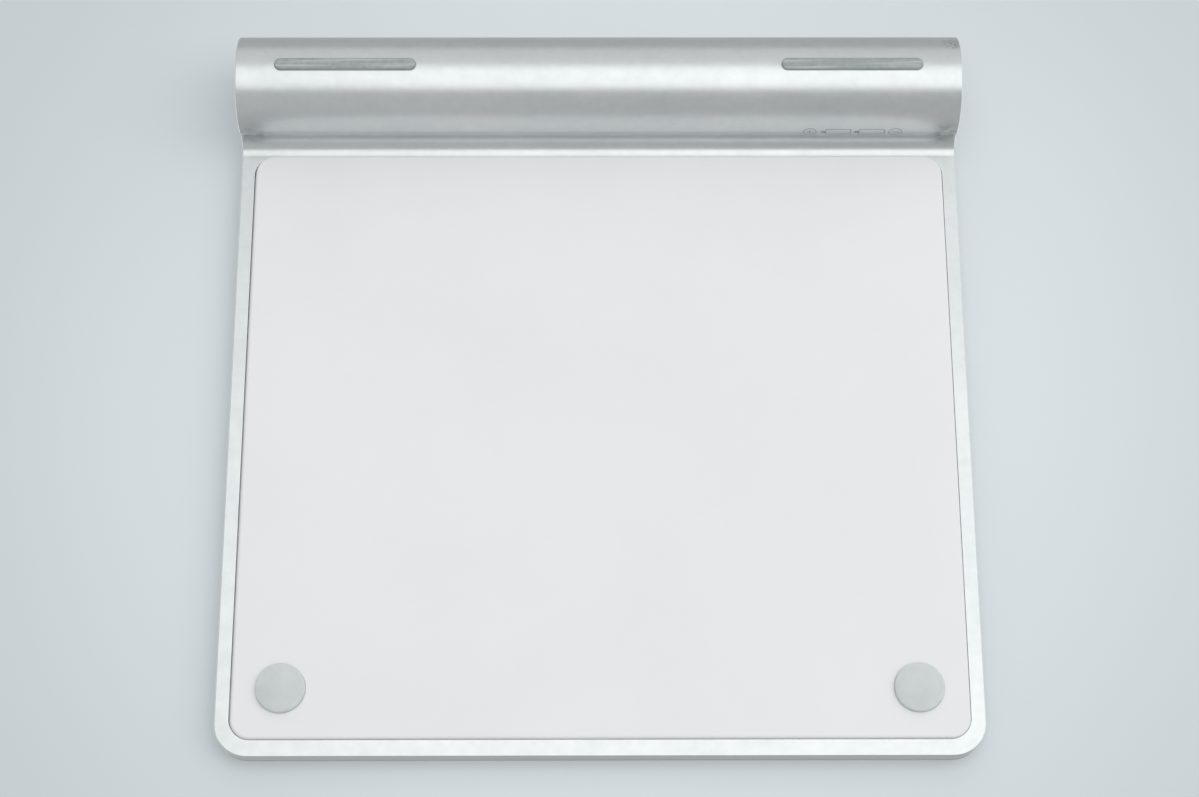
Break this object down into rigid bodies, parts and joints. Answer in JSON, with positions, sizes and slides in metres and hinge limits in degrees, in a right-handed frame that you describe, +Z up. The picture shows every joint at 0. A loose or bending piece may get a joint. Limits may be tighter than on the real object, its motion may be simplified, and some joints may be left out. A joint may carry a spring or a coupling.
{
  "type": "trackpad",
  "caption": "Slim glass-topped desktop trackpad: aluminium wedge body with a round rear battery tube, coin-slotted cap, power button and sprung clicking feet.",
  "frame": {"origin": "on the desk plane, under the middle of the trackpad's box, as it stands in use", "axes": "+X to the user's right, +Y from the front edge to the battery tube, +Z up; the glass slopes up towards +Y"},
  "size_m": [0.13, 0.1312, 0.0184],
  "materials": {
    "satin_aluminium": "bead-blasted, clear anodised",
    "glass_white": "matt etched glass over a pale backing",
    "adhesive_film": "double-sided film",
    "board_laminate": "solder-masked laminate",
    "chip_epoxy": "moulded epoxy",
    "cover_white": "satin moulded plastic",
    "foot_rubber": "translucent grey",
    "strip_rubber": "grey",
    "liner_film": "smooth",
    "cell_jacket": "printed jacket, plain",
    "contact_metal": "nickel plated",
    "moulded_black": "moulded",
    "spring_steel": "rolled",
    "flex_film": "polyimide film",
    "clear_pipe": "clear"
  },
  "bodies": {
    "base": {"housing": "satin_aluminium", "glass_top": "glass_white", "glass_adhesive": "adhesive_film", "sensor_board": "board_laminate", "sensor_chips": "chip_epoxy", "bottom_cover": "cover_white", "cover_adhesive": "adhesive_film", "battery_liner": "liner_film", "outer_battery_cell": "cell_jacket", "inner_battery_cell": "cell_jacket", "positive_contact": "contact_metal", "contact_bulkhead": "moulded_black", "right_end_cap": "satin_aluminium", "button_carrier": "moulded_black", "power_board": "board_laminate", "power_switch": "moulded_black", "main_board": "board_laminate", "board_screws": "spring_steel", "radio_shield": "spring_steel", "radio_chip": "chip_epoxy", "board_connector": "moulded_black", "antenna": "flex_film", "power_flex": "flex_film", "flex_connector": "moulded_black", "status_lamp": "clear_pipe", "status_light_pipe": "clear_pipe", "left_click_switch": "spring_steel", "right_click_switch": "spring_steel", "left_rear_strip": "strip_rubber", "right_rear_strip": "strip_rubber"},
    "cap_carrier": {"cap_contact": "contact_metal"},
    "battery_cap": {"battery_cap": "satin_aluminium", "cap_insert": "moulded_black"},
    "power_button": {"power_button": "satin_aluminium", "power_switch_plunger": "moulded_black"},
    "left_foot": {"left_foot_pad": "foot_rubber", "left_foot_plunger": "moulded_black", "left_switch_dome": "spring_steel"},
    "right_foot": {"right_foot_pad": "foot_rubber", "right_foot_plunger": "moulded_black", "right_switch_dome": "spring_steel"}
  },
  "joints": [
    {"name": "cap_slide", "type": "slide", "parent": "base", "child": "cap_carrier", "axis": [-1, 0, 0], "range_m": [0, 0.00375]},
    {"name": "cap_turn", "type": "hinge", "parent": "cap_carrier", "child": "battery_cap", "pos_m": [-0.065, 0.05661, 0.00945], "axis": [-1, 0, 0], "range_deg": [0, 1080.5]},
    {"name": "power_press", "type": "slide", "parent": "base", "child": "power_button", "axis": [-1, 0, 0], "range_m": [0, 0.0005], "stiffness_N_per_m": 1800, "springref_m": -0.0005},
    {"name": "left_click", "type": "slide", "parent": "base", "child": "left_foot", "axis": [0, -0.1153, 0.9933], "range_m": [0, 0.0003], "stiffness_N_per_m": 2500, "springref_m": -0.0005},
    {"name": "right_click", "type": "slide", "parent": "base", "child": "right_foot", "axis": [0, -0.1153, 0.9933], "range_m": [0, 0.0003], "stiffness_N_per_m": 2500, "springref_m": -0.0005}
  ],
  "couplings": [
    {"joint": "cap_turn", "follows": "cap_slide", "rad_per_m": 5026.5}
  ]
}
